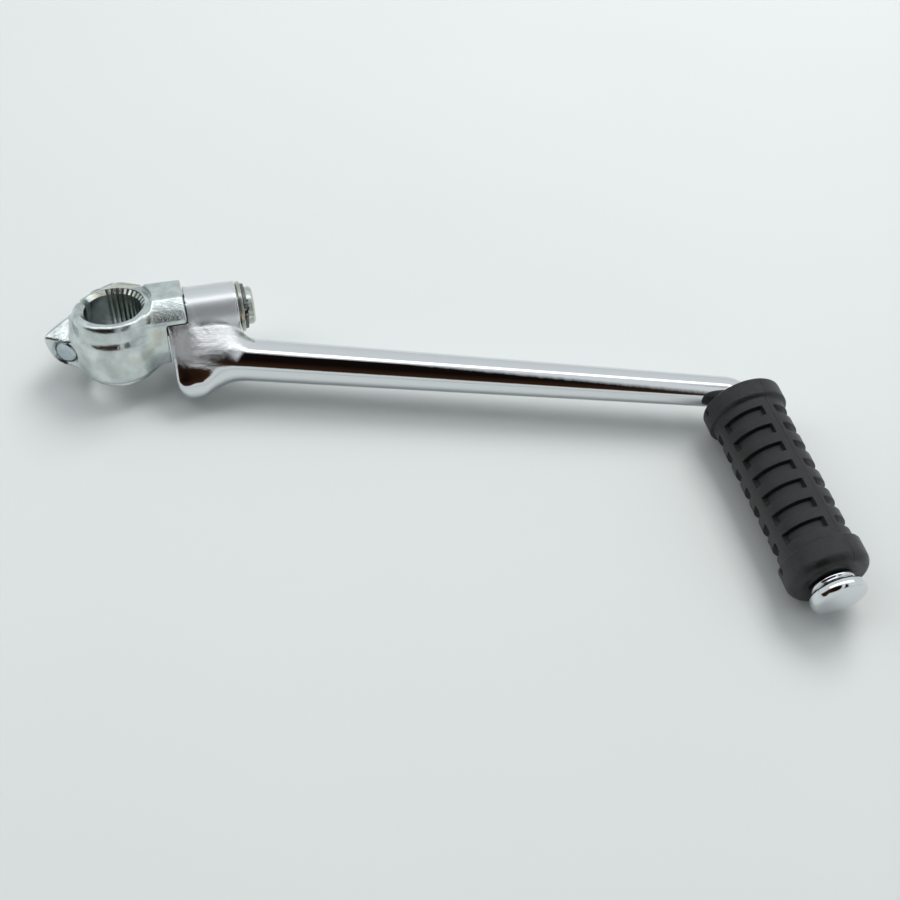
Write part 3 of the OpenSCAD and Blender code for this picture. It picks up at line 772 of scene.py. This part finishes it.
washer = {"low": 41.35, "thick": 1.4, "inner": 6.45, "outer": 8.6, "innerEdge": 0.1, "outerEdge": 0.45, "count": 128}
profile = rounded([(washer["inner"], 0, washer["innerEdge"]), (washer["outer"], 0, washer["outerEdge"]),
                   (washer["outer"], washer["thick"], washer["outerEdge"]),
                   (washer["inner"], washer["thick"], washer["innerEdge"])])
points, faces = turned(profile, washer["count"])
points = outOf(kneeTurn, np.array([washer["low"], kneeY, kneeZ]), points)
washerObject = meshObject("thrust_washer_plated", points, faces)
washerObject.data.set_sharp_from_angle(angle=math.radians(40))

clip = {"low": 42.81, "thick": 1.1, "inner": 5.76, "outer": 7.7, "turn": math.radians(235), "gap": math.radians(16),
        "ear": 7.3, "earR": 1.3, "hole": 0.6, "cell": 0.13}


# Circlip field: a flat open ring with two pierced ears, rounded on its edges.
def clipField(x, y, z):
    u, v, w = into(kneeTurn, np.array([clip["low"] + clip["thick"] / 2, kneeY, kneeZ]), x, y, z)
    r = np.hypot(u, v)
    a = (np.arctan2(v, u) - clip["turn"] + math.pi) % (2 * math.pi) - math.pi
    ringBody = np.maximum(np.maximum(clip["inner"] - r, r - clip["outer"]), (clip["gap"] - np.abs(a)) * r)
    d = ringBody
    hole = None
    for side in (-1, 1):
        cx = clip["ear"] * math.cos(clip["turn"] + side * clip["gap"])
        cy = clip["ear"] * math.sin(clip["turn"] + side * clip["gap"])
        gap = np.hypot(u - cx, v - cy)
        d = join(d, gap - clip["earR"], 0.5)
        hole = gap if hole is None else np.minimum(hole, gap)
    d = np.maximum(d, clip["hole"] - hole)
    d = np.maximum(d, clip["inner"] - r)
    return meet(d, np.abs(w) - clip["thick"] / 2, 0.3)


low = np.array([42.5, kneeY - 9.5, kneeZ - 9.5])
high = np.array([44.3, kneeY + 9.5, kneeZ + 9.5])
points, quads = skin(clipField, low, high, clip["cell"])
clipObject = meshObject("circlip_open", points, quads)
clipObject.data.set_sharp_from_angle(angle=math.radians(50))

print("stage: join to the frame")
for made, node, body, slot, material in (
        (hubObject, "hub", "hub", "hub_zinc", hubZinc),
        (armObject, "arm", "arm", "arm_chrome", chrome),
        (gripObject, "grip_rubber", "arm", "grip_rubber", rubber),
        (boltObject, "pinch_bolt", "hub", "bolt_zinc", boltZinc),
        (washerObject, "thrust_washer", "hub", "washer_zinc", washerZinc),
        (clipObject, "circlip", "hub", "spring_steel", spring)):
    made.data.materials.clear()
    made.data.materials.append(material)
    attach(made, body)
    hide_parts(node)
for node in ("detent_ball", "detent_spring"):
    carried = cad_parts[node]
    carried.data.materials.clear()
    carried.data.materials.append(spring)

print("stage: floor, light, camera")

# Pale matt table, cool white.
tableFinish = {"Metallic": 0.0, "Roughness": 0.55, "Specular IOR Level": 0.3}
floorMaterial, tree, shader, coord = begin("pale_table", tableFinish)
cloud = noise(tree, coord, 6, 2)
tree.links.new(blendColours(tree, cloud, srgb("#d3d7d6"), srgb("#d8dcdb")), shader.inputs["Base Color"])
tableHalf = 3000.0
corners = [(tableHalf * i, tableHalf * j, tableZ) for i, j in ((-1, -1), (1, -1), (1, 1), (-1, 1))]
floor = meshObject("table", corners, np.array([[0, 1, 2, 3]]), smooth=False)
floor.data.materials.append(floorMaterial)

# Surroundings of a light tent: pale walls, a bright strip behind the zenith, a dark brown opening towards the camera.
world = bpy.data.worlds.new("light_tent")
bpy.context.scene.world = world
world.use_nodes = True
tree = world.node_tree
tree.nodes.clear()
direction = addNode(tree, "TexCoord").outputs["Generated"]
split = addNode(tree, "SeparateXYZ", {}, {"Vector": direction})
dx, dy, dz = split.outputs
lift = spread(tree, dz, -0.1, 1.0, 0, 1)
wall = blendColours(tree, lift, srgb("#d3d8da"), srgb("#e2e6e8"))
# opening: below the zenith, above a low front wall, in front, with a bright gap right of the middle
inFront = spread(tree, maths(tree, "ADD", dy, maths(tree, "MULTIPLY", dx, 0.15)), 0.02, -0.1, 0, 1)
aboveWall = spread(tree, dz, 0.19, 0.27, 0, 1)
farRight = maths(tree, "MULTIPLY", spread(tree, dx, 0.2, 0.28, 0, 1), spread(tree, dx, 0.6, 0.45, 0, 1))
notRight = maths(tree, "MAXIMUM", spread(tree, dx, 0.09, -0.01, 0, 1), farRight)
opening = maths(tree, "MULTIPLY", maths(tree, "MULTIPLY", inFront, aboveWall), notRight)
darkness = blendColours(tree, spread(tree, dz, 0.25, 0.75, 0, 1), srgb("#3c2619"), srgb("#110c0a"))
seen = blendColours(tree, opening, wall, darkness)
strip = maths(tree, "MULTIPLY", spread(tree, dy, 0.06, 0.1, 0, 1), spread(tree, dy, 0.34, 0.28, 0, 1))
strip = maths(tree, "MULTIPLY", strip, spread(tree, dz, 0.5, 0.7, 0, 1))
seen = blendColours(tree, strip, seen, (2.05, 2.08, 2.12, 1))
background = addNode(tree, "Background", {}, {"Color": seen}, {"Strength": 1.0})
addNode(tree, "OutputWorld", {}, {"Surface": background.outputs[0]})


partMiddle = (0.09, -0.03, 0)


# Soft lamp: a square light of a given size in metres, turned to look at the middle of the part.
def lamp(name, place, size, power, colour):
    data = bpy.data.lights.new(name, "AREA")
    data.shape = "SQUARE"
    data.size = size
    data.energy = power
    data.color = colour
    made = bpy.data.objects.new(name, data)
    bpy.context.scene.collection.objects.link(made)
    back = np.array(place, float) - np.array(partMiddle)
    z = back / np.linalg.norm(back)
    x = np.cross([0, 1, 0.01], z)
    x /= np.linalg.norm(x)
    y = np.cross(z, x)
    made.matrix_world = Matrix([[x[i], y[i], z[i], place[i]] for i in range(3)] + [[0, 0, 0, 1]])
    made.visible_glossy = False


lamp("key", (0.45, 0.38, 0.75), 0.45, 4.7, (1.0, 0.99, 0.97))
lamp("side", (-0.5, 0.1, 0.6), 0.5, 0.95, (0.95, 0.98, 1.0))

# Camera solved from the outline of the part in the photo.
cameraData = bpy.data.cameras.new("view")
cameraData.lens = 52.0
cameraData.sensor_width = 36.0
cameraData.clip_start = 0.01
cameraData.clip_end = 20
camera = bpy.data.objects.new("view", cameraData)
bpy.context.scene.collection.objects.link(camera)
camera.matrix_world = Matrix([[0.965926, 0.165325, -0.199135, 0.01466], [-0.248793, 0.805176, -0.538325, -0.295343],
                              [0.071340, 0.569525, 0.818873, 0.346973], [0, 0, 0, 1]])
bpy.context.scene.camera = camera
bpy.context.scene.view_settings.view_transform = "Standard"
bpy.context.scene.view_settings.look = "None"
